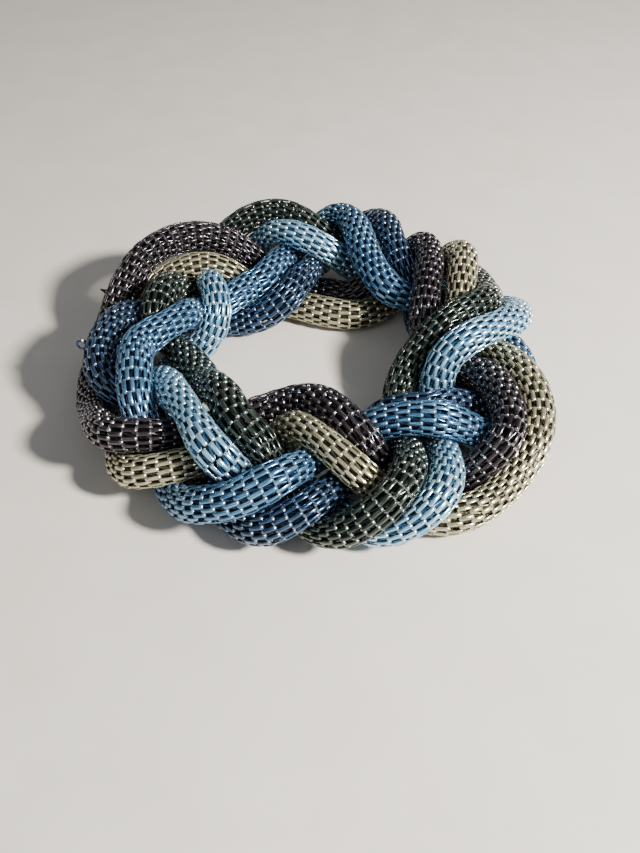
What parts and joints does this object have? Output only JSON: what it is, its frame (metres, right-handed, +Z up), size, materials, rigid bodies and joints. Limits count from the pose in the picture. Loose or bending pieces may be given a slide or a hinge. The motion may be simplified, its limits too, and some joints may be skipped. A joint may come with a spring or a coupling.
{
  "type": "braided mesh tube bracelet",
  "caption": "Closed flat braid of round coil-mesh tubes in blue, green, bronze and gold lacquer, worn round the wrist; each tube is a hollow sleeve on an elastic cord.",
  "frame": {"origin": "centre of the wrist opening, on the surface the bracelet lies on", "axes": "+Z up, along the axis of the wrist opening; the braid lies flat round it"},
  "size_m": [0.1098, 0.1118, 0.0225],
  "materials": {
    "mesh_navy": "lacquered flat-wire coil mesh, glossy",
    "mesh_blue": "lacquered flat-wire coil mesh, glossy",
    "mesh_green": "lacquered flat-wire coil mesh, glossy",
    "mesh_sky": "lacquered flat-wire coil mesh, glossy",
    "mesh_bronze": "lacquered flat-wire coil mesh, glossy",
    "mesh_gold": "lacquered flat-wire coil mesh, glossy",
    "cord": "dark elastic cord, matte",
    "crimp": "plain steel crimp, satin"
  },
  "bodies": {
    "root": {"sleeve_navy": "mesh_navy", "sleeve_blue": "mesh_blue", "sleeve_green": "mesh_green", "sleeve_sky": "mesh_sky", "sleeve_bronze": "mesh_bronze", "sleeve_gold": "mesh_gold", "cord_navy": "cord", "cord_blue": "cord", "cord_green": "cord", "cord_sky": "cord", "cord_bronze": "cord", "cord_gold": "cord", "crimp_navy": "crimp", "crimp_blue": "crimp", "crimp_green": "crimp", "crimp_sky": "crimp", "crimp_bronze": "crimp", "crimp_gold": "crimp", "wire_end_navy": "mesh_navy", "wire_end_bronze": "mesh_bronze"}
  },
  "joints": []
}
